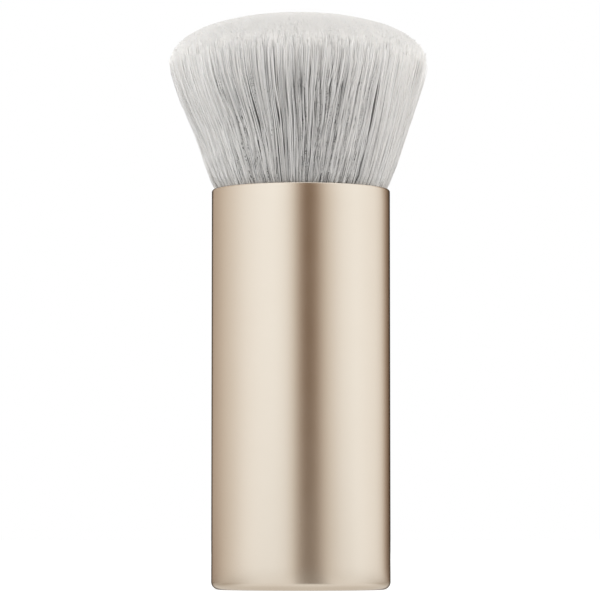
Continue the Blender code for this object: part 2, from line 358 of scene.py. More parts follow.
def add_node(kind, inputs, tree=None, **settings):
    """Adds a node with its settings to a tree, or else to that of what it reads, and feeds its sockets by their names
    or numbers."""
    if tree is None:
        tree = next(value.socket.id_data for value in inputs.values() if isinstance(value, Value))
    node = tree.nodes.new(kind)
    for setting, value in settings.items():
        setattr(node, setting, value)
    for socket, value in inputs.items():
        feed(node.inputs[socket], value)
    return node


def outputs_of(node):
    """What a node puts out, by number and by name."""
    outputs = {}
    for number, socket in enumerate(node.outputs):
        outputs[number] = outputs[socket.name] = Value(socket)
    return outputs


def add(kind, inputs, tree=None, **settings):
    """Adds a node, and gives what it puts out."""
    return outputs_of(add_node(kind, inputs, tree, **settings))


def source(tree, kind, **settings):
    """Adds a node that reads nothing, and gives what it puts out."""
    return add(kind, {}, tree, **settings)


def maths(operation, *values, clamp=False):
    """One step of arithmetic."""
    return add("ShaderNodeMath", dict(enumerate(values)), operation=operation, use_clamp=clamp)[0]


def vector_maths(operation, *values):
    """One step of arithmetic on points."""
    return add("ShaderNodeVectorMath", dict(enumerate(values)), operation=operation)[0]


def scaled(point, factor):
    """A point or a colour times a factor."""
    return add("ShaderNodeVectorMath", {0: point, "Scale": factor}, operation="SCALE")[0]


def between(share, low, high):
    """The value that lies this share of the way from low to high."""
    return add("ShaderNodeMix", {0: share, 2: low, 3: high})[0]


def between_points(share, start, end):
    """The point that lies this share of the way from start to end."""
    return add("ShaderNodeMix", {0: share, 4: start, 5: end}, data_type="VECTOR")[1]


def between_colours(share, first, second, blend_type="MIX"):
    """The colour that lies this share of the way from the first to the second."""
    inputs = {0: share, 6: first, 7: second}
    return add("ShaderNodeMix", inputs, data_type="RGBA", blend_type=blend_type)[2]


def eased(value, start, end, low=0.0, high=1.0):
    """Goes smoothly from low to high while the value goes from start to end."""
    inputs = {0: value, 1: start, 2: end, 3: low, 4: high}
    return add("ShaderNodeMapRange", inputs, interpolation_type="SMOOTHSTEP")[0]


def swelling(value, middle, reach):
    """Rises from 0 to 1 and falls to 0 again while the value passes the middle."""
    off_middle = (value - middle) / reach
    return maths("SUBTRACT", 1.0, off_middle * off_middle, clamp=True)


def curve_value(value, table):
    """Reads a table of (place, value) pairs, all from 0 to 1, as one smooth curve."""
    node = add_node("ShaderNodeFloatCurve", {"Value": value})
    curve = node.mapping.curves[0]
    curve.points[0].location = table[0]
    curve.points[1].location = table[-1]
    for place, height in table[1:-1]:
        curve.points.new(place, height)
    for point in curve.points:
        point.handle_type = "AUTO_CLAMPED"
    node.mapping.update()
    return outputs_of(node)[0]


def axes_of(point):
    """The x, y and z of a point, or the three values of a colour."""
    axes = add("ShaderNodeSeparateXYZ", {"Vector": point})
    return axes[0], axes[1], axes[2]


def point_from(x=0.0, y=0.0, z=0.0):
    """A point from its three values."""
    return add("ShaderNodeCombineXYZ", {"X": x, "Y": y, "Z": z})[0]


INPUT_KINDS = {int: "NodeSocketInt", float: "NodeSocketFloat", tuple: "NodeSocketVector"}
NUMBER = "NodeSocketFloat"


def new_group(name, kind, inputs, outputs):
    """An empty group with named sockets: its inputs with their values, and its outputs with their kinds."""
    group = bpy.data.node_groups.new(name, kind)
    for label, value in inputs.items():
        socket_kind = INPUT_KINDS[type(value)]
        group.interface.new_socket(label, in_out="INPUT", socket_type=socket_kind).default_value = value
    for label, socket_kind in outputs.items():
        group.interface.new_socket(label, in_out="OUTPUT", socket_type=socket_kind)
    return group, outputs_of(group.nodes.new("NodeGroupInput")), group.nodes.new("NodeGroupOutput").inputs


def use_group(name, inputs):
    """Places a shared group in the tree of what it reads, with its own values."""
    return add("ShaderNodeGroup", inputs, node_tree=bpy.data.node_groups[name])


# Effects that several finishes share

GRAIN_GROUP = "fine grain and clouds"
RING_GROUP = "turned rings"
WEAVE_GROUP = "plain weave"
PANEL_GROUP = "panel light"
MIDDLE = (0.0, 0.0, 0.0)
GRAIN_SIZE = 0.1 * MM
GRAIN_DETAIL = 2.0
CLOUD_SIZE = 6.0 * MM
CLOUD_DETAIL = 3.0
RING_WIDTH = 0.16 * MM
THREAD_WIDTH = 0.2 * MM
THREAD_FLAT, THREAD_SWELL = 0.4, 0.6


def build_fine_grain():
    """Fine grain for bumps, and slow clouds, because no real finish is even."""
    inputs = {"Place": MIDDLE, "Grain Size": GRAIN_SIZE, "Cloud Size": CLOUD_SIZE}
    outputs = {"Grain": NUMBER, "Clouds": NUMBER}
    _, given, made = new_group(GRAIN_GROUP, "ShaderNodeTree", inputs, outputs)
    for output, size, detail in (("Grain", "Grain Size", GRAIN_DETAIL), ("Clouds", "Cloud Size", CLOUD_DETAIL)):
        inputs = {"Vector": given["Place"], "Scale": 1.0 / given[size], "Detail": detail}
        feed(made[output], add("ShaderNodeTexNoise", inputs)["Fac"])


def build_turned_rings():
    """Fine rings round the Z axis, as a lathe leaves them on a flat end."""
    inputs = {"Place": MIDDLE, "Ring Width": RING_WIDTH}
    _, given, made = new_group(RING_GROUP, "ShaderNodeTree", inputs, {"Rings": NUMBER})
    x, y, _ = axes_of(given["Place"])
    turns = maths("SQRT", x * x + y * y) / given["Ring Width"]
    feed(made["Rings"], maths("SINE", turns * math.tau) * 0.5 + 0.5)


def build_plain_weave():
    """The height and the threads of a plain weave, from distances along and across the cloth."""
    inputs = {"Along": 0.0, "Across": 0.0, "Thread Width": THREAD_WIDTH}
    outputs = {"Height": NUMBER, "Warp": NUMBER}
    _, given, made = new_group(WEAVE_GROUP, "ShaderNodeTree", inputs, outputs)
    counts, crowns, heights = [], [], []
    for distance in ("Along", "Across"):
        threads = given[distance] / given["Thread Width"]
        crown = maths("SINE", maths("FRACT", threads) * math.pi)
        counts.append(maths("FLOOR", threads))
        crowns.append(maths("SQRT", crown, clamp=True))
        heights.append(crown * THREAD_SWELL + THREAD_FLAT)
    over = maths("PINGPONG", counts[0] + counts[1], 1.0)
    feed(made["Height"], between(over, crowns[0] * heights[1], crowns[1] * heights[0]))
    feed(made["Warp"], over)


def new_material(name, **plain_values):
    """A material, the sockets of its Principled shader, and the object's own coordinates to draw on. The plain values
    are named as the sockets are, in small letters."""
    material = bpy.data.materials.new(name)
    material.use_nodes = True
    tree = material.node_tree
    shader = tree.nodes["Principled BSDF"].inputs
    for label, value in plain_values.items():
        feed(shader[label.replace("_", " ").title()], value)
    return material, shader, source(tree, "ShaderNodeTexCoord")["Object"]


def varied(shader, colour_mask, colours, roughness_mask, roughness):
    """Varies the colour and the roughness of a finish, each by its own mask."""
    feed(shader["Base Color"], between_colours(colour_mask, *colours))
    feed(shader["Roughness"], between(roughness_mask, *roughness))


def grained(place, sizes):
    """Fine grain and clouds, of these two sizes."""
    texture = use_group(GRAIN_GROUP, {"Place": place, "Grain Size": sizes[0], "Cloud Size": sizes[1]})
    return texture["Grain"], texture["Clouds"]


def add_bump(shader, height, depth):
    """Raises the surface by this height, from 0 to 1, times a depth in metres."""
    inputs = {"Height": height, "Distance": depth, "Strength": 1.0}
    feed(shader["Normal"], add("ShaderNodeBump", inputs)["Normal"])


def spots(place, spacing, shares):
    """1 in scattered round spots and 0 between them. A spot fades between two radii, as shares of the spacing."""
    cells = add("ShaderNodeTexVoronoi", {"Vector": place, "Scale": 1.0 / spacing})
    return eased(cells["Distance"], *shares, 1.0, 0.0)


# Finishes: a pair is what a mask of 0 and of 1 gives, and a texture is the size of its grain and of its clouds

BARREL_COLOURS = ((0.83, 0.757, 0.654), (0.86, 0.79, 0.69))
BARREL_ROUGHNESS = (0.21, 0.25)
BARREL_TEXTURE = (0.08 * MM, 7.0 * MM)
BARREL_BUMP = 0.0012 * MM
# Painted shade on the gloss along the outline, where the surface turns away from view
BARREL_OUTLINE_SHADE_TINT = (0.12, 0.1, 0.09)
BARREL_OUTLINE_SHADE_SHARES = (0.78, 0.92)
EVEN_BLEND = 0.5
WHITE = (1.0, 1.0, 1.0)
RING_BUMP = 0.002 * MM
FOOT_FACE_HEIGHT = 0.06 * MM

BRISTLE_WHITE = (0.99, 0.977, 0.97)
BRISTLE_COOL = (0.985, 1.0, 1.005)
BRISTLE_WARM = (1.005, 1.0, 0.985)
BRISTLE_ROUGHNESS = 0.5
BRISTLE_SHEENS = (0.35, 0.08)
# Lightness up the height: the crown is painted darker, as shade that offsets the fuller light falling on it
BRISTLE_LIGHTNESS = (
    (0.0, 0.925), (0.55, 0.95), (0.7, 0.985), (0.8, 0.95), (0.86, 0.82), (0.92, 0.79), (1.0, 0.79),
)
# Painted shade below the crown: how light the most shaded strands are, how the shade fades up the height, and a short
# slit painted nearly black
BRISTLE_DEEPEST_SHADE = 0.3
BRISTLE_SHADE_BY_HEIGHT = ((0.0, 1.0), (0.57, 1.0), (0.66, 0.85), (0.72, 0.45), (0.77, 0.12), (0.81, 0.0), (1.0, 0.0))
RAGGED_SHARE = 0.13
SLIT_MIDDLES = (0.16, 0.78)
SLIT_REACHES = (0.04, 0.1)
SLIT_SHADE_RANGE = (0.14, 0.4)
SLIT_SHADE = 0.9
CROWN_PIVOT = (0.0, 0.0, 66.0 * MM)
CROWN_SOFT_HEIGHTS = (0.78, 0.92)
CROWN_SOFT_SHARE = 0.4

PLATE_COLOURS = ((0.56, 0.56, 0.57), (0.5, 0.53, 0.57))
PLATE_ROUGHNESS = (0.24, 0.36)
PLATE_TEXTURE = (0.12 * MM, 5.0 * MM)
PLATE_RING_WIDTH = 0.22 * MM
PLATE_RING_SHARE = 0.7
PLATE_BUMP = 0.0025 * MM

CORE_COLOURS = ((0.69, 0.655, 0.58), (0.72, 0.69, 0.62))
CORE_ROUGHNESS = (0.42, 0.58)
CORE_TEXTURE = (0.14 * MM, 9.0 * MM)
CORE_BUMP = 0.006 * MM

CUP_COLOURS = ((0.68, 0.68, 0.7), (0.76, 0.76, 0.77))
CUP_ROUGHNESS = (0.3, 0.44)
CUP_TEXTURE = (0.12 * MM, 4.0 * MM)
CUP_DRAW_STRETCH = (1.0, 1.0, 0.03)
CUP_BUMP = 0.003 * MM

RESIN_COLOURS = ((0.47, 0.31, 0.13), (0.62, 0.46, 0.25))
RESIN_ROUGHNESS = (0.06, 0.2)
RESIN_TEXTURE = (0.6 * MM, 6.0 * MM)
BUBBLE_COLOUR = (0.82, 0.7, 0.5)
BUBBLE_SPACING = 1.1 * MM
BUBBLE_SHARES = (0.1, 0.16)
BUBBLE_BUMP = 0.03 * MM

END_COLOURS = ((0.42, 0.3, 0.16), (0.86, 0.84, 0.8))
END_ROUGHNESS = (0.22, 0.6)
END_TEXTURE = (0.3 * MM, 3.0 * MM)
END_SOAK = (0.75, 1.0)
END_SPACING = 0.17 * MM
END_SHARES = (0.3, 0.42)
END_STRETCH = (1.0, 1.0, 0.06)
END_BUMP = 0.015 * MM

# The foam's colour, and its painted shade deep in a pore
FOAM_COLOURS = ((0.075, 0.075, 0.078), (0.02, 0.02, 0.021))
FOAM_ROUGHNESS = 0.92
FOAM_SHEEN = 0.2
FOAM_TEXTURE = (0.05 * MM, 2.5 * MM)
FOAM_SKIN = (0.75, 1.0)
FOAM_CELL = 0.16 * MM
FOAM_SHARES = (0.12, 0.45)
FOAM_GRAIN_SHARE = 0.2
FOAM_BUMP = 0.04 * MM

TAPE_COLOUR = (0.8, 0.785, 0.75)
TAPE_WEFT_COLOUR = (0.74, 0.72, 0.68)
# Painted shade in the grooves of the weave
TAPE_GROOVE_SHADE = (0.5, 0.48, 0.44)
TAPE_ROUGHNESS = 0.85
TAPE_SHEEN = 0.25
TAPE_TEXTURE = (0.04 * MM, 3.0 * MM)
TAPE_CLOUDING = (0.92, 1.0)
TAPE_THREAD = 0.14 * MM
TAPE_GRAIN_SHARE = 0.25
TAPE_BUMP = 0.03 * MM


def anodised_finish():
    """Bead-blasted and anodised metal whose gloss is painted dark where it turns away from view, with turned rings
    under its foot.
    """
    material, shader, place = new_material("anodised_barrel", base_color=BARREL_COLOURS[1], metallic=1.0)
    grain, clouds = grained(place, BARREL_TEXTURE)
    varied(shader, clouds, BARREL_COLOURS, clouds, BARREL_ROUGHNESS)
    # Painted shade: the gloss is tinted dark where the surface turns away from view
    facing = add("ShaderNodeLayerWeight", {"Blend": EVEN_BLEND}, material.node_tree)["Facing"]
    feed(shader["Specular Tint"], between_colours(eased(facing, *BARREL_OUTLINE_SHADE_SHARES), WHITE, BARREL_OUTLINE_SHADE_TINT))
    rings = use_group(RING_GROUP, {"Place": place, "Ring Width": RING_WIDTH})["Rings"]
    on_foot = maths("LESS_THAN", axes_of(place)[2], FOOT_FACE_HEIGHT)
    add_bump(shader, rings * on_foot * (RING_BUMP / BARREL_BUMP) + grain, BARREL_BUMP)
    return material


def soft_normal(tree, place, along):
    """Turns the normals of the tips towards a dome's, because a dense crown shades as one soft surface."""
    own = source(tree, "ShaderNodeNewGeometry")["Normal"]
    from_pivot = vector_maths("NORMALIZE", vector_maths("SUBTRACT", place, CROWN_PIVOT))
    dome = add("ShaderNodeVectorTransform", {0: from_pivot}, convert_from="OBJECT", convert_to="WORLD")[0]
    share = eased(along, *CROWN_SOFT_HEIGHTS, 0.0, CROWN_SOFT_SHARE)
    return vector_maths("NORMALIZE", between_points(share, own, dome))


def bristle_finish():
    """Soft fibre with a tint for each strand, whitest below the crown and painted darker on the crown as shade.
    Below the crown, strands with painted shade are darker, as the bundle would shade them, and painted nearly
    black for a short slit."""
    plain = {"base_color": BRISTLE_WHITE, "roughness": BRISTLE_ROUGHNESS}
    material, shader, place = new_material("bristle_fibre_soft", **plain)
    tree = material.node_tree
    across, along, _ = axes_of(source(tree, "ShaderNodeUVMap", uv_map="OFBake")[0])
    column = maths("FLOOR", across * SHADE_COLUMNS)
    deep = column / SHADE_COLUMNS
    chance = add("ShaderNodeTexWhiteNoise", {"W": column}, noise_dimensions="1D")
    slit_chance, tint_chance, reach_chance = axes_of(chance["Color"])
    ragged_along = along + (chance["Value"] * RAGGED_SHARE - RAGGED_SHARE / 2)
    feed(shader["Specular IOR Level"], eased(ragged_along, *CROWN_SOFT_HEIGHTS, *BRISTLE_SHEENS))
    feed(shader["Normal"], soft_normal(tree, place, ragged_along))

    # Painted shade of a strand, gone at the crown
    shade_by_height = curve_value(ragged_along, BRISTLE_SHADE_BY_HEIGHT)
    shaded = between(deep * shade_by_height, 1.0, BRISTLE_DEEPEST_SHADE)
    # A short slit, painted nearly black
    in_slit = swelling(along, between(slit_chance, *SLIT_MIDDLES), between(reach_chance, *SLIT_REACHES))
    slit = in_slit * eased(deep, *SLIT_SHADE_RANGE)
    unslit = 1.0 - slit * shade_by_height * SLIT_SHADE
    # The lightness up the height paints the crown darker, as shade
    lightness = curve_value(along, BRISTLE_LIGHTNESS) * (shaded * unslit)
    toned = scaled(between_colours(tint_chance, BRISTLE_COOL, BRISTLE_WARM), lightness)
    feed(shader["Base Color"], between_colours(1.0, toned, BRISTLE_WHITE, "MULTIPLY"))
    return material


def plated_finish():
    """Turned steel with a thin bright plating that has a faint blue cast in places."""
    material, shader, place = new_material("plated_weight", base_color=PLATE_COLOURS[0], metallic=1.0)
    grain, clouds = grained(place, PLATE_TEXTURE)
    varied(shader, clouds, PLATE_COLOURS, clouds, PLATE_ROUGHNESS)
    rings = use_group(RING_GROUP, {"Place": place, "Ring Width": PLATE_RING_WIDTH})["Rings"]
    add_bump(shader, rings * PLATE_RING_SHARE + grain, PLATE_BUMP)
    return material


def moulded_finish():
    """Plain moulded plastic with a fine sparked texture and slow flow clouds."""
    material, shader, place = new_material("moulded_core", base_color=CORE_COLOURS[1])
    grain, clouds = grained(place, CORE_TEXTURE)
    varied(shader, clouds, CORE_COLOURS, grain, CORE_ROUGHNESS)
    add_bump(shader, grain, CORE_BUMP)
    return material


def drawn_finish():
    """Drawn aluminium, with fine lines up its wall where the press pulled it."""
    material, shader, place = new_material("drawn_cup", base_color=CUP_COLOURS[1], metallic=1.0)
    lines, clouds = grained(vector_maths("MULTIPLY", place, CUP_DRAW_STRETCH), CUP_TEXTURE)
    varied(shader, lines, CUP_COLOURS, clouds, CUP_ROUGHNESS)
    add_bump(shader, lines, CUP_BUMP)
    return material


def resin_finish():
    """Hardened clear amber resin, glossy, with a few small bubbles."""
    material, shader, place = new_material("potting_resin_clear", base_color=RESIN_COLOURS[1])
    grain, clouds = grained(place, RESIN_TEXTURE)
    bubbles = spots(place, BUBBLE_SPACING, BUBBLE_SHARES)
    amber = between_colours(clouds, *RESIN_COLOURS)
    varied(shader, bubbles, (amber, BUBBLE_COLOUR), grain, RESIN_ROUGHNESS)
    add_bump(shader, bubbles, BUBBLE_BUMP)
    return material


def fibre_end_finish():
    """The cut and glued end of the bundle: pale fibre ends in amber glue, drawn out to lines down its side."""
    material, shader, place = new_material("glued_fibre_ends", base_color=END_COLOURS[1])
    ends = spots(vector_maths("MULTIPLY", place, END_STRETCH), END_SPACING, END_SHARES)
    _, clouds = grained(place, END_TEXTURE)
    varied(shader, ends * between(clouds, *END_SOAK), END_COLOURS, ends, END_ROUGHNESS)
    add_bump(shader, ends, END_BUMP)
    return material


def foam_finish():
    """Matt closed-cell foam with small cut pores, painted darker inside as shade."""
    material, shader, place = new_material("foam_pad_matt", base_color=FOAM_COLOURS[0], roughness=FOAM_ROUGHNESS)
    grain, clouds = grained(place, FOAM_TEXTURE)
    depth = spots(place, FOAM_CELL, FOAM_SHARES) * between(clouds, *FOAM_SKIN)
    # Painted shade inside the pores
    feed(shader["Base Color"], between_colours(depth, *FOAM_COLOURS))
    feed(shader["Specular IOR Level"], FOAM_SHEEN)
    add_bump(shader, grain * FOAM_GRAIN_SHARE + (1.0 - depth), FOAM_BUMP)
    return material


def tape_finish():
    """Thin woven binding tape, with its threads round the bundle and across, and painted shade in the grooves between
    them.
    """
    material, shader, place = new_material("woven_binding_tape", base_color=TAPE_COLOUR, roughness=TAPE_ROUGHNESS)
    x, y, z = axes_of(place)
    along = maths("ARCTAN2", y, x) * TAPE_RADIUS
    weave = use_group(WEAVE_GROUP, {"Along": along, "Across": z, "Thread Width": TAPE_THREAD})
    grain, clouds = grained(place, TAPE_TEXTURE)
    threads = between_colours(weave["Warp"], TAPE_WEFT_COLOUR, TAPE_COLOUR)
    # Painted shade in the grooves between the threads
    colour = between_colours(weave["Height"], TAPE_GROOVE_SHADE, threads)
    feed(shader["Base Color"], scaled(colour, between(clouds, *TAPE_CLOUDING)))
    feed(shader["Sheen Weight"], TAPE_SHEEN)
    add_bump(shader, grain * TAPE_GRAIN_SHARE + weave["Height"], TAPE_BUMP)
    return material


# Turned shapes


def corner_points(centre, radius, start, end, steps):
    """Points of a rounded corner, as (radius, height) pairs from one angle to another, in degrees."""
    angles = [math.radians(start + (end - start) * step / steps) for step in range(steps + 1)]
    return [(centre[0] + radius * math.cos(angle), centre[1] + radius * math.sin(angle)) for angle in angles]


def straight_points(start, end, steps):
    """Points strictly between two (radius, height) pairs."""
    shares = [step / steps for step in range(1, steps)]
    return [tuple(a + (b - a) * share for a, b in zip(start, end)) for share in shares]


def turned_mesh(name, profile, sides):
    """A mesh of revolution round the Z axis. Its profile runs outwards along the bottom, up and back in, so that its
    faces point outwards, and a point on the axis closes it."""
    vertices = []
    rings = []
    for radius, height in profile:
        first = len(vertices)
        if radius == 0.0:
            vertices.append((0.0, 0.0, height))
            rings.append([first] * sides)
            continue
        for side in range(sides):
            angle = math.tau * side / sides
            vertices.append((radius * math.cos(angle), radius * math.sin(angle), height))
        rings.append(list(range(first, first + sides)))
    faces = []
    for lower, upper in zip(rings, rings[1:]):
        for side in range(sides):
            after = (side + 1) % sides
            corners = (lower[side], lower[after], upper[after], upper[side])
            faces.append(tuple(dict.fromkeys(corners)))
    return mesh_of(name, vertices, faces)


def mesh_of(name, vertices, faces):
    """A mesh from its vertices and faces."""
    mesh = bpy.data.meshes.new(name)
    mesh.from_pydata(vertices, [], faces)
    return mesh


def smoothed(mesh):
    """Shades a mesh smooth, apart from its sharp edges."""
    shape = bmesh.new()
    shape.from_mesh(mesh)
    bmesh.ops.recalc_face_normals(shape, faces=shape.faces)
    for face in shape.faces:
        face.smooth = True
    for edge in shape.edges:
        edge.smooth = edge.calc_face_angle(0.0) < SHARP_ANGLE
    shape.to_mesh(mesh)
    shape.free()
    return mesh


def placed(name, data):
    """Puts an object with this data in the scene."""
    thing = bpy.data.objects.new(name, data)
    bpy.context.scene.collection.objects.link(thing)
    return thing


def shown(name, mesh, slot_name, *nodes, material=None):
    """Puts a finished mesh in the scene in place of the CAD nodes that it stands for."""
    piece = placed(name, mesh)
    if material is not None:
        mesh.materials.append(material)
    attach(piece, BODY)
    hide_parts(*nodes)
    return piece


def barrel_profile():
    """The barrel's section: along the foot, up the outside, over the lip and down the inside to the floor."""
    foot_centre = (BARREL_RADIUS - FOOT_RADIUS, FOOT_RADIUS)
    lip_centre = (BARREL_RADIUS - BARREL_WALL / 2, BARREL_HEIGHT - LIP_RADIUS)
    inner_radius = BARREL_RADIUS - BARREL_WALL
    inner_foot = (inner_radius - INNER_FOOT_RADIUS, BARREL_FLOOR + INNER_FOOT_RADIUS)
    foot_face = [(foot_centre[0] * share, 0.0) for share in FOOT_FACE_SHARES]
    foot = corner_points(foot_centre, FOOT_RADIUS, -90, 0, FOOT_STEPS)
    lip = corner_points(lip_centre, LIP_RADIUS, 0, 180, LIP_STEPS)
    inner_corner = corner_points(inner_foot, INNER_FOOT_RADIUS, 0, -90, INNER_FOOT_STEPS)
    outside = straight_points(foot[-1], lip[0], WALL_RINGS)
    inside = straight_points(lip[-1], inner_corner[0], INNER_WALL_RINGS)
    return foot_face + foot + outside + lip + inside + inner_corner + [(0.0, BARREL_FLOOR)]


def disc_profile(radius, bottom, top, edge, crown=0.0):
    """A round disc's section with rounded edges and, where it is crowned, faces that rise towards the middle."""
    corner_radius = radius - edge
    rings = [(corner_radius * share, crown * share * share) for share in DISC_FACE_SHARES]
    under = [(ring, bottom + rise) for ring, rise in rings]
    over = [(ring, top - rise) for ring, rise in rings]
    lower = corner_points((corner_radius, bottom + crown + edge), edge, -90, 0, DISC_EDGE_STEPS)
    upper = corner_points((corner_radius, top - crown - edge), edge, 0, 90, DISC_EDGE_STEPS)
    return under + lower + upper + over[::-1]


def wound_tape_mesh(name):
    """Tape wound round the bundle in a tight spiral, one turn over the other, with cut ends."""
    half = TAPE_THICKNESS / 2
    outline = (
        (-half + TAPE_EDGE, TAPE_BOTTOM),
        (half - TAPE_EDGE, TAPE_BOTTOM),
        (half, TAPE_BOTTOM + TAPE_EDGE),
        (half, TAPE_TOP - TAPE_EDGE),
        (half - TAPE_EDGE, TAPE_TOP),
        (-half + TAPE_EDGE, TAPE_TOP),
        (-half, TAPE_TOP - TAPE_EDGE),
        (-half, TAPE_BOTTOM + TAPE_EDGE),
    )
    vertices = []
    for step in range(TAPE_STEPS + 1):
        turns = TAPE_TURNS * step / TAPE_STEPS
        angle = math.tau * turns
        for off_middle, height in outline:
            radius = TAPE_RADIUS + TAPE_PITCH * turns + off_middle
            vertices.append((radius * math.cos(angle), radius * math.sin(angle), height))
    corners = len(outline)
    faces = [tuple(range(corners)), tuple(range(TAPE_STEPS * corners, (TAPE_STEPS + 1) * corners))]
    for step in range(TAPE_STEPS):
        first = step * corners
        for corner in range(corners):
            after = (corner + 1) % corners
            faces.append((first + corner, first + after, first + corners + after, first + corners + corner))
    return mesh_of(name, vertices, faces)


# Bristles


def height_share(height):
    """A height as a share of the way from the strands' roots to the crown."""
    return (height - ROOT_HEIGHT) / BUNDLE_HEIGHT


def strand_chances(given, number):
    """Gives a function that draws a random value for each strand, another one for each place in the tree."""

    def chance(place, low=0.0, high=1.0):
        inputs = {2: low, 3: high, "ID": number, "Seed": given["Seed"] + place}
        return add("FunctionNodeRandomValue", inputs)[1]

    return chance


def strand_copies(tree, given):
    """As many divided lines as there are strands, with each one's number and the share of each point along it."""
    line = add("GeometryNodeCurvePrimitiveLine", {"End": (0.0, 0.0, 1.0)}, tree)[0]
    divided = add("GeometryNodeResampleCurve", {"Curve": line, "Count": given["Segments"] + 1})[0]
    inputs = {"Geometry": divided, "Amount": given["Strands"]}
    copies = add("GeometryNodeDuplicateElements", inputs, domain="SPLINE")
    step = source(tree, "GeometryNodeSplineParameter")["Index"]
    return copies["Geometry"], copies["Duplicate Index"], step / given["Segments"]


def strand_stand(given, number, chance):
    """Where a strand stands in the disc of the whole head: its share of the radius, and its arc and radius there."""
    spread = (number + chance(1)) / given["Strands"]
    inner_square = given["Inner Share"] * given["Inner Share"]
    outer_square = given["Outer Share"] * given["Outer Share"]
    rim_share = maths("SQRT", between(spread, inner_square, outer_square))
    turn = maths("FRACT", number * GOLDEN_SHARE + chance(2, 0.0, TURN_JITTER))
    arc = (given["Sector"] + turn) / given["Sectors"] * HEAD_GIRTH
    return rim_share, arc, rim_share * HEAD_RADIUS


def strand_height(given, rim_share, length_share, chance):
    """How high each point of a strand is, from 0 at the root to 1 at the crown. Some outer strands stop short."""
    crown_table = [(share, height_share(height * MM)) for share, height in CROWN_SHAPE_MM]
    shoulder_share = height_share(SHOULDER_HEIGHT)
    jitter = chance(3, -1.0, 1.0) * given["Tip Jitter"]
    drop = chance(9) ** DROP_RARITY * (rim_share**RIM_STEEPNESS * TIP_DROP)
    lowered = jitter - (drop + given["Shortness"])
    tip_share = lowered * (1.0 / BUNDLE_HEIGHT) + curve_value(rim_share, crown_table)
    climb = curve_value(length_share, CLIMB_SHARES) * shoulder_share
    height = curve_value(length_share, CROWN_SHARES) * (tip_share - shoulder_share) + climb
    return maths("MAXIMUM", height, given["Start Share"])


def slanted(place, height, amount, slant):
    """Slants a place by an amount from 0 to 1, to either side, about the pivot height. The crown stays even."""
    above = maths("MINIMUM", height, EVEN_FROM_SHARE) - PIVOT_SHARE
    return above * ((amount - 0.5) * slant) + place


def cell_chances(arc, radius, size):
    """Three random values of the cell that a strand stands in."""
    inputs = {"Vector": point_from(arc, radius / CELL_STRETCH), "Scale": 1.0 / size}
    return axes_of(add("ShaderNodeTexVoronoi", inputs, voronoi_dimensions="2D")["Color"])


def value_round(arc, table, low, high):
    """Reads a table of (degrees round from the camera's side, value) pairs, and gives the value as a share of the
    way from low to high."""
    round_share = maths("FRACT", arc * (1.0 / HEAD_GIRTH) + CAMERA_SIDE_SHARE)
    shares = [((side + 180) / 360, (value - low) / (high - low)) for side, value in table]
    return curve_value(round_share, shares)


def off_parting(stand, direction):
    """How far along the arc a strand stands from a parting, and how near to it that is, from 0 to 1."""
    off = stand - HEAD_GIRTH * (direction / 360 + CAMERA_SIDE_SHARE)
    nearness = maths("MULTIPLY_ADD", maths("ABSOLUTE", off), -1.0 / PARTING_REACH, 1.0, clamp=True)
    return off, nearness


def by_partings(stand):
    """How near to any parting a strand stands, from 0 to 1."""
    nearest = 0.0
    for direction, *_ in PARTINGS:
        nearest = maths("MAXIMUM", nearest, off_parting(stand, direction)[1])
    return nearest


def parted(stand, arc, height):
    """Pushes strands away from the partings, by where they stand, each over its own stretch of the height."""
    for direction, middle, reach, push in PARTINGS:
        off, nearness = off_parting(stand, direction)
        arc = swelling(height, middle, reach) * push * (maths("SIGN", off) * nearness) + arc
    return arc


def fanned(arc, height, evenness, chance):
    """Slants the strands of each side of the bundle together, some more than others."""
    full_slant = 2.0 * math.tan(math.radians(WIDEST_SLANT)) * BUNDLE_HEIGHT
    share = between(evenness, chance(11, *FAN_SHARES), sum(FAN_SHARES) / 2)
    amount = value_round(arc, FAN_SLANTS, -WIDEST_SLANT, WIDEST_SLANT)
    return slanted(arc, height, amount, share * full_slant)


def in_locks(given, arc, radius, height, looseness, evenness):
    """Slants locks and wisps their own ways, and sinks some wisps for a stretch, which opens tapered slits."""
    lock_chance = cell_chances(arc, radius, LOCK_SIZE)
    wisp_chance = cell_chances(arc, radius, WISP_SIZE)
    freedom = between(evenness, between(looseness, EVEN_SLANT_SHARE, 1.0), 0.0)
    new_arc = slanted(arc, height, lock_chance[0], freedom * LOCK_SLANT)
    new_arc = slanted(new_arc, height, wisp_chance[0], freedom * WISP_SLANT)
    over = wisp_chance[2] - (1.0 - SUNK_SHARE)
    sunk_share = maths("MULTIPLY", over, 1.0 / SUNK_SHARE, clamp=True) ** SUNK_STEEPNESS
    depth = sunk_share * looseness * given["Wisp Sink"]
    middle = between(wisp_chance[1], *SINK_MIDDLES)
    reach = between(lock_chance[1], *SINK_REACHES)
    new_radius = slanted(radius, height, wisp_chance[1], WISP_DEPTH_SLANT)
    return new_arc, new_radius - swelling(height, middle, reach) * depth, sunk_share


def strayed(arc, radius, height, evenness, chance):
    """Gives each strand slants of its own, lets a few stray, and lets a few stand proud of the rest."""
    stray = maths("LESS_THAN", chance(6), STRAY_SHARE)
    own_slant = between(evenness, between(stray, OWN_SLANT, STRAY_SLANT), 0.0)
    new_arc = slanted(arc, height, chance(4), own_slant)
    new_radius = slanted(radius, height, chance(12), OWN_DEPTH_SLANT)
    proud = maths("LESS_THAN", chance(5), PROUD_SHARE)
    rise = proud * chance(13, *PROUD_HEIGHTS) * swelling(height, *PROUD_SWELL)
    return new_arc, rise + new_radius


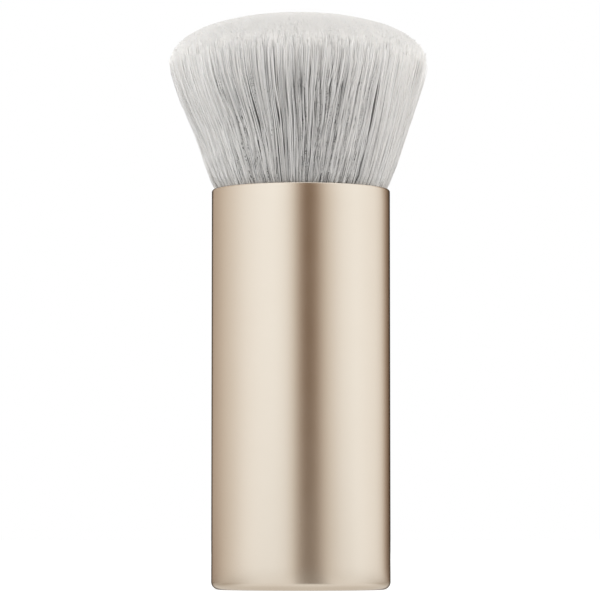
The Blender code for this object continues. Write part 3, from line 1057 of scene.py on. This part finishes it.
def strand_shade(given, rim_share, sunk_share, looseness, nearness, chance):
    """How much painted shade a strand has, from 0 to 1. The inner strands that a parting opens to view get the most.
    """
    by_chance = chance(7) ** CHANCE_SHADE_RARITY * CHANCE_SHADE
    names = ("Outer Share", "Inner Share", "Outer Tone", "Inner Tone")
    inputs = dict(enumerate([rim_share, *(given[name] for name in names)]))
    by_depth = add("ShaderNodeMapRange", inputs)[0]
    by_place = sunk_share * SUNK_SHADE + by_depth
    opened = nearness * (by_depth * OPENED_SHADE)
    return maths("MULTIPLY_ADD", by_chance + by_place, looseness, opened, clamp=True)


def bundle_place(arc, radius, height):
    """The point in space: the whole bundle narrows to the mouth of the barrel and leans a little at the top."""
    side_table = [(height_share(level * MM), width * MM / WIDEST_RADIUS) for level, width in SIDE_SHAPE_MM]
    real_radius = radius * (curve_value(height, side_table) * (WIDEST_RADIUS / HEAD_RADIUS))
    angle = arc / HEAD_RADIUS
    lean = eased(height, height_share(LEAN_FROM_HEIGHT), height_share(LEAN_TO_HEIGHT), 0.0, LEAN)
    x = real_radius * maths("COSINE", angle) + lean
    y = real_radius * maths("SINE", angle)
    return point_from(x, y, height * BUNDLE_HEIGHT + ROOT_HEIGHT)


def kept_values(geometry, values):
    """Keeps named values with the points of a curve, for use after its shape has changed."""
    kept = add_node("GeometryNodeCaptureAttribute", {"Geometry": geometry}, domain="POINT")
    for name, value in values.items():
        kept.capture_items.new("FLOAT", name)
        feed(kept.inputs[name], value)
    return outputs_of(kept)


def strand_tubes(tree, given, strands, place, turn):
    """Closed tubes along the strands, with a map for their colour: one column for each step of painted shade, running
    up the height.
    """
    moved = add("GeometryNodeSetPosition", {"Geometry": strands["Geometry"], "Position": place})[0]
    turned = add("GeometryNodeSetCurveTilt", {"Curve": moved, "Tilt": turn})[0]
    section = add("GeometryNodeCurvePrimitiveCircle", {"Resolution": given["Sides"], "Radius": 1.0})[0]
    section_step = source(tree, "GeometryNodeSplineParameter")["Index"]
    side = kept_values(section, {"Side": section_step / (given["Sides"] - 1)})
    tube_inputs = {
        "Curve": turned,
        "Profile Curve": side["Geometry"],
        "Scale": strands["Thickness"],
        "Fill Caps": True,
    }
    tubes = add("GeometryNodeCurveToMesh", tube_inputs)[0]
    across = (strands["Column"] + (side["Side"] * COLUMN_SPAN + COLUMN_START)) / SHADE_COLUMNS
    along = strands["Height"] * MAP_SPAN + MAP_START
    map_inputs = {"Geometry": tubes, "Name": "OFBake", "Value": point_from(across, along)}
    return add("GeometryNodeStoreNamedAttribute", map_inputs, data_type="FLOAT2", domain="CORNER")[0]


def bristle_tree(material):
    """The tree that grows one sector of the bristle head, with named inputs for its sizes."""
    outputs = {"Geometry": "NodeSocketGeometry"}
    tree, given, made = new_group("bristle sector", "GeometryNodeTree", SECTOR_VALUES, outputs)
    copies, number, length_share = strand_copies(tree, given)
    chance = strand_chances(given, number)
    rim_share, stand, radius = strand_stand(given, number, chance)
    height = strand_height(given, rim_share, length_share, chance)
    looseness = value_round(stand, LOOSE_SHARES, 0.0, 1.0)
    nearness = by_partings(stand)
    evenness = nearness * PARTING_EVENNESS
    arc = fanned(stand, height, evenness, chance)
    arc, radius, sunk_share = in_locks(given, arc, radius, height, looseness, evenness)
    arc, radius = strayed(arc, radius, height, evenness, chance)
    arc = parted(stand, arc, height)
    # Each strand's painted shade, which also sets it a little deeper in the bundle
    painted_shade = strand_shade(given, rim_share, sunk_share, looseness, nearness, chance)
    place = bundle_place(arc, painted_shade * -SHADE_SINK + radius, height)

    half_thickness = given["Thickness"] * chance(8, *THICKNESS_RANGE)
    taper = between(given["Tip Bluntness"], curve_value(length_share, TAPER_SHARES), 1.0)
    values = {
        "Column": maths("FLOOR", painted_shade * DEEPEST_COLUMN),
        "Height": height,
        "Thickness": taper * half_thickness,
    }
    tubes = strand_tubes(tree, given, kept_values(copies, values), place, chance(10, 0.0, math.tau))
    faceted = add("GeometryNodeSetShadeSmooth", {"Geometry": tubes, "Shade Smooth": False})[0]
    real = add("GeometryNodeRealizeInstances", {"Geometry": faceted})[0]
    feed(made["Geometry"], add("GeometryNodeSetMaterial", {"Geometry": real, "Material": material})[0])
    return tree


def grown_mesh(name, tree, values):
    """Runs a tree once with its own values, and gives back the result as a plain mesh."""
    holder = placed(name + "_holder", bpy.data.meshes.new(name + "_holder"))
    modifier = holder.modifiers.new(tree.name, "NODES")
    modifier.node_group = tree
    for item in tree.interface.items_tree:
        if item.name in values:
            modifier[item.identifier] = values[item.name]
    graph = bpy.context.evaluated_depsgraph_get()
    mesh = bpy.data.meshes.new_from_object(holder.evaluated_get(graph), depsgraph=graph)
    mesh.name = name
    bpy.data.objects.remove(holder)
    return mesh


def bristle_head(material):
    """All the sectors of the head's layers of strands."""
    tree = bristle_tree(material)
    seed = BRISTLE_SEED
    for layer, (sectors, own_values) in STRAND_LAYERS.items():
        for sector in range(sectors):
            name = f"bristles_{layer}_{sector + 1}"
            values = {"Seed": seed, "Sector": sector, "Sectors": sectors, **own_values}
            shown(name, grown_mesh(name, tree, values), "bristle_fibre", "bristle_knot")
            seed += SEED_STEP


# Inside the barrel


def inner_pieces():
    """The soft pieces inside: the bundle's glued end, the tape that binds it, and the pad under the weight."""
    slice_profile = disc_profile(SLICE_RADIUS, SLICE_BOTTOM, SLICE_TOP, SLICE_EDGE)
    slice_mesh = smoothed(turned_mesh("root_slice", slice_profile, DISC_SIDES))
    shown("root_slice", slice_mesh, "bristle_fibre", "bristle_knot", material=fibre_end_finish())
    tape_mesh = smoothed(wound_tape_mesh("binding_tape"))
    shown("binding_tape", tape_mesh, "binding_tape", "root_band", material=tape_finish())
    pad_profile = disc_profile(PAD_RADIUS, PAD_BOTTOM, PAD_TOP, PAD_EDGE, PAD_CROWN)
    pad_mesh = smoothed(turned_mesh("foam_pad", pad_profile, DISC_SIDES))
    pad = shown("foam_pad", pad_mesh, "foam_tape", "weight_pad", material=foam_finish())


def carried_over(frame):
    """Finishes for the pieces that stay as the model has them."""
    finishes = {
        "base_weight": plated_finish(),
        "inner_core": moulded_finish(),
        "bristle_cup": drawn_finish(),
        "resin_plug": resin_finish(),
    }
    for node, material in finishes.items():
        for slot in frame["nodes"][node].material_slots:
            slot.material = material


# Studio


def stage_material(mesh):
    """An empty material for something that isn't part of the brush: its tree and what its surface shows."""
    material = bpy.data.materials.new(mesh.name)
    material.use_nodes = True
    mesh.materials.append(material)
    tree = material.node_tree
    tree.nodes.remove(tree.nodes["Principled BSDF"])
    return tree, tree.nodes["Material Output"].inputs["Surface"]


def build_panel_light():
    """The light tent's colour in the direction of a place, seen from the brush."""
    outputs = {"Color": "NodeSocketColor"}
    _, given, made = new_group(PANEL_GROUP, "ShaderNodeTree", {"Place": MIDDLE}, outputs)
    x, y, _ = axes_of(given["Place"])
    share = maths("ARCTAN2", x, y * -1.0) * (1.0 / math.tau) + 0.5
    panels = add_node("ShaderNodeValToRGB", {"Fac": share})
    stops = panels.color_ramp.elements
    while len(stops) < len(TENT_PANELS):
        stops.new(0.5)
    for stop, (direction, strength) in zip(stops, TENT_PANELS):
        stop.position = (direction + 180) / 360
        stop.color = (*(strength**power for power in TENT_TINT_POWERS), 1.0)
    feed(made["Color"], outputs_of(panels)["Color"])


def floor_gloss(place, away):
    """The painted glow that gloss sees on the floor, from a painted shadow under the brush outwards."""
    panels = use_group(PANEL_GROUP, {"Place": place})["Color"]
    x, y, _ = axes_of(place)
    across_share, depth_share = x / away, y / away
    front = eased(across_share * FLOOR_FRONT_TURN + depth_share, *FLOOR_FRONT_SHARES, 1.0, 0.0)
    rear = between_colours(eased(depth_share, *FLOOR_BACK_SHARES), FLOOR_SIDE_GLOSS, FLOOR_BACK_GLOSS)
    beside = between_colours(front, rear, FLOOR_FRONT_GLOSS)
    steeper = between_colours(FLOOR_STEEPNESS, panels, panels, "MULTIPLY")
    further = between_colours(front * FLOOR_HAZE_SHARE, steeper, FLOOR_HAZE)
    outside = between_colours(eased(away, *FLOOR_BESIDE_RADII), beside, further)
    strip = swelling(across_share, *FLOOR_STRIP_SHARES) * eased(away, *FLOOR_STRIP_RADII)
    striped = between_colours(strip, outside, FLOOR_STRIP_GLOSS)
    return between_colours(eased(away, *FLOOR_UNDER_RADII), FLOOR_SHADOW_GLOSS, striped)


def pale_floor():
    """A plain floor that reads as the white background and keeps the brush's shadow. Gloss sees a painted glow
    instead.
    """
    floor = placed("pale_floor", turned_mesh("pale_floor", [(FLOOR_RADIUS, 0.0), (0.0, 0.0)], FLOOR_SIDES))
    tree, surface = stage_material(floor.data)
    place = source(tree, "ShaderNodeTexCoord")["Object"]
    away = add("ShaderNodeVectorMath", {0: place}, operation="LENGTH")["Value"]
    path = source(tree, "ShaderNodeLightPath")
    direct = maths("MAXIMUM", path["Is Camera Ray"], path["Is Transmission Ray"])
    glow_strength = direct * eased(away, *FLOOR_GLOW_RADII, *FLOOR_GLOW)
    paper = add("ShaderNodeBsdfDiffuse", {"Color": FLOOR_PAPER}, tree)[0]
    glow = add("ShaderNodeEmission", {"Strength": glow_strength})[0]
    lit = add("ShaderNodeAddShader", {0: paper, 1: glow})[0]
    # Gloss sees painted light and a painted shadow here, not the lit floor
    painted_gloss = add("ShaderNodeEmission", {"Color": floor_gloss(place, away)})[0]
    feed(surface, add("ShaderNodeMixShader", {0: path["Is Glossy Ray"], 1: lit, 2: painted_gloss})[0])


def light_tent():
    """A ring of panels round the brush that only the gloss of its surfaces sees."""
    profile = [(TENT_RADIUS, 0.0), (TENT_RADIUS, TENT_HEIGHT)]
    tent = placed("light_tent", turned_mesh("light_tent", profile, TENT_SIDES))
    tree, surface = stage_material(tent.data)
    panels = use_group(PANEL_GROUP, {"Place": source(tree, "ShaderNodeTexCoord")["Object"]})["Color"]
    feed(surface, add("ShaderNodeEmission", {"Color": panels, "Strength": TENT_STRENGTH})[0])
    for ray in ("camera", "diffuse", "transmission", "shadow", "volume_scatter"):
        setattr(tent, f"visible_{ray}", False)


def lamps():
    """Large soft lamps at the sides, in front, above and behind, which no gloss mirrors."""
    for name, direction, elevation, distance, size, watts, colour in LAMPS:
        light = bpy.data.lights.new(name, "AREA")
        light.size = size
        light.energy = watts
        light.color = colour
        lamp = placed(name, light)
        turn, rise = math.radians(direction), math.radians(elevation)
        away = math.cos(rise) * distance
        lamp.location = (math.sin(turn) * away, -math.cos(turn) * away, math.sin(rise) * distance)
        lamp.rotation_euler = (math.pi / 2 - rise, 0.0, turn)
        lamp.visible_glossy = False


def white_world():
    """White to look at, in mirrors and through glass too, and dimmer as a light on the brush."""
    world = bpy.data.worlds.new("white_studio")
    bpy.context.scene.world = world
    world.use_nodes = True
    path = source(world.node_tree, "ShaderNodeLightPath")
    looked_at = maths("MAXIMUM", path["Is Camera Ray"], path["Is Glossy Ray"])
    looked_at = maths("MAXIMUM", looked_at, path["Is Transmission Ray"])
    background = world.node_tree.nodes["Background"].inputs
    feed(background["Color"], WHITE)
    feed(background["Strength"], between(looked_at, AMBIENT, 1.0))


def camera():
    """The photograph's view, from low in front."""
    lens = bpy.data.cameras.new("view")
    lens.lens = CAMERA_LENS
    view = placed("view", lens)
    view.location = CAMERA_PLACE
    view.rotation_euler = (math.pi / 2 + CAMERA_PITCH, 0.0, 0.0)
    bpy.context.scene.camera = view


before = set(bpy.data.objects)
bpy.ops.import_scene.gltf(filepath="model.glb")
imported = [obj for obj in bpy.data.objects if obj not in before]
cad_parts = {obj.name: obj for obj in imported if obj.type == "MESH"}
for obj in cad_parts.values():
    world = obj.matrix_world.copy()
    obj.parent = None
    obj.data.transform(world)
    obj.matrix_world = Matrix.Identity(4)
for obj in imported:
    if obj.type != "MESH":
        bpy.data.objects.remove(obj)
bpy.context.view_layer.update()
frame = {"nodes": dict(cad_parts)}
camera()
build_panel_light()
pale_floor()
light_tent()
lamps()
white_world()
bpy.context.scene.view_settings.view_transform = "Standard"

build_fine_grain()
build_turned_rings()
build_plain_weave()
barrel_mesh = smoothed(turned_mesh("barrel", barrel_profile(), BARREL_SIDES))
shown("barrel", barrel_mesh, "anodised_aluminium", "handle_shell", material=anodised_finish())
bristle_head(bristle_finish())
inner_pieces()
carried_over(frame)
